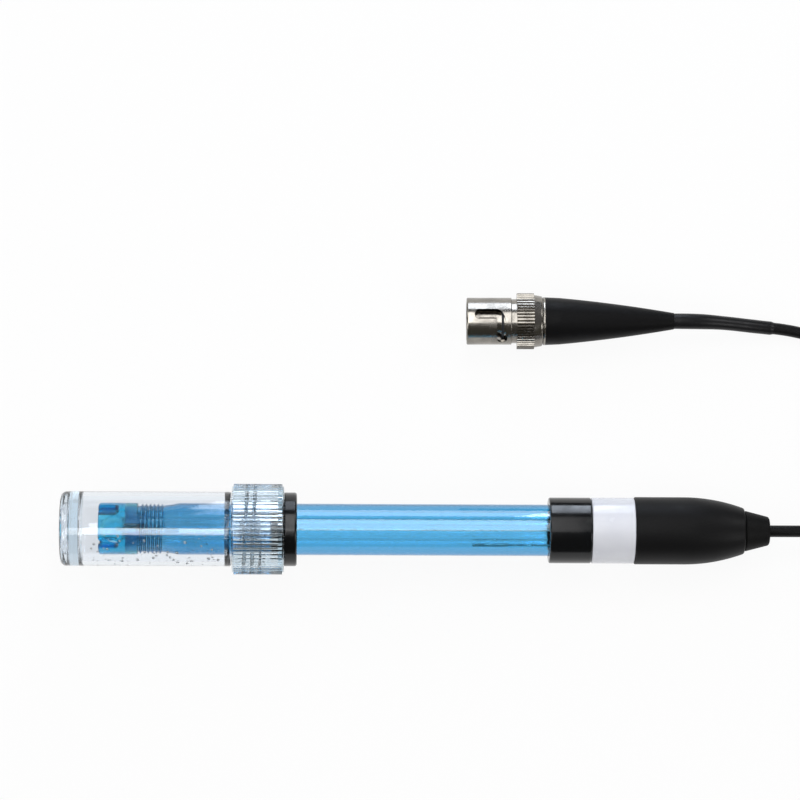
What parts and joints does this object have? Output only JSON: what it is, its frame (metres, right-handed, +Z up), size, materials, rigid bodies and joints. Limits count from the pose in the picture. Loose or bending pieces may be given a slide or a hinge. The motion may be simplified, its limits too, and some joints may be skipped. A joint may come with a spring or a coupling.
{
  "type": "ph electrode",
  "caption": "Combination pH electrode with a blue stem, storage bottle, moulded black handle, coiled lead and bayonet plug.",
  "frame": {"origin": "on the surface that the probe lies on, under the middle of the probe without its lead", "axes": "+X along the probe from its tip to its lead, +Z up, +Y towards the plug"},
  "size_m": [0.2396, 0.0728, 0.0231],
  "materials": {
    "blue_polycarbonate": "clear blue, polished",
    "blue_guard": "deeper blue, polished",
    "glass": "clear",
    "silver": "drawn silver wire",
    "wick": "porous white",
    "tip_sealant": "cast, matte",
    "black_rubber": "satin black",
    "white_plastic": "white, glossy",
    "black_plastic": "fine matte black",
    "potting": "cast resin",
    "relief_rubber": "matte black",
    "clear_styrene": "clear, polished",
    "clear_nut": "clear, ribbed",
    "nickel": "bright nickel plate",
    "spring_steel": "plain",
    "white_insulator": "waxy white",
    "gilt": "gold flash",
    "silicone": "satin",
    "boot_rubber": "satin black",
    "lead_jacket": "satin black",
    "shrink_jacket": "smooth black"
  },
  "bodies": {
    "probe": {"stem_tube": "blue_polycarbonate", "bulb_guard": "blue_guard", "glass_stem": "glass", "measuring_wire": "silver", "reference_wire": "silver", "junction_wick": "wick", "tip_seal": "tip_sealant", "top_seal": "black_rubber", "collar_ring": "white_plastic", "handle_cap": "black_plastic", "potting_fill": "potting", "strain_relief": "relief_rubber", "plug_body": "nickel", "plug_insulator": "white_insulator", "centre_pin": "gilt", "plug_gasket": "silicone", "spring_washer": "spring_steel", "crimp_ferrule": "nickel", "plug_boot": "boot_rubber", "lead_probe_side": "lead_jacket", "lead_plug_side": "lead_jacket", "lead_coil": "lead_jacket", "shrink_tube": "shrink_jacket"},
    "bottle": {"storage_bottle": "clear_styrene"},
    "seal": {"bottle_seal": "black_rubber"},
    "screw_cap": {"bottle_nut": "clear_nut"},
    "sleeve": {"fill_sleeve": "black_rubber"},
    "washer": {"thrust_washer": "nickel"},
    "coupling": {"coupling_nut": "nickel"}
  },
  "joints": [
    {"name": "bottle_slide", "type": "slide", "parent": "probe", "child": "bottle", "axis": [-0.9996, 0, 0.0286], "range_m": [0, 0.075]},
    {"name": "seal_slide", "type": "slide", "parent": "bottle", "child": "seal", "axis": [0.9996, 0, -0.0286], "range_m": [0, 0.003]},
    {"name": "nut_turn", "type": "hinge", "parent": "seal", "child": "screw_cap", "pos_m": [-0.03936, 0, 0.01156], "axis": [0.9996, 0, -0.0286], "range_deg": [0, 540]},
    {"name": "sleeve_slide", "type": "slide", "parent": "probe", "child": "sleeve", "axis": [-0.9996, 0, 0.0286], "range_m": [0, 0.016]},
    {"name": "nut_pull", "type": "slide", "parent": "probe", "child": "washer", "axis": [-1, 0, 0], "range_m": [0, 0.0007], "stiffness_N_per_m": 4000, "deforming": ["spring_washer"]},
    {"name": "coupling_turn", "type": "hinge", "parent": "washer", "child": "coupling", "pos_m": [0.0131, 0.0543, 0.00715], "axis": [-1, 0, 0], "continuous": true}
  ],
  "couplings": [
    {"joint": "nut_turn", "follows": "seal_slide", "rad_per_m": 3141.6}
  ]
}
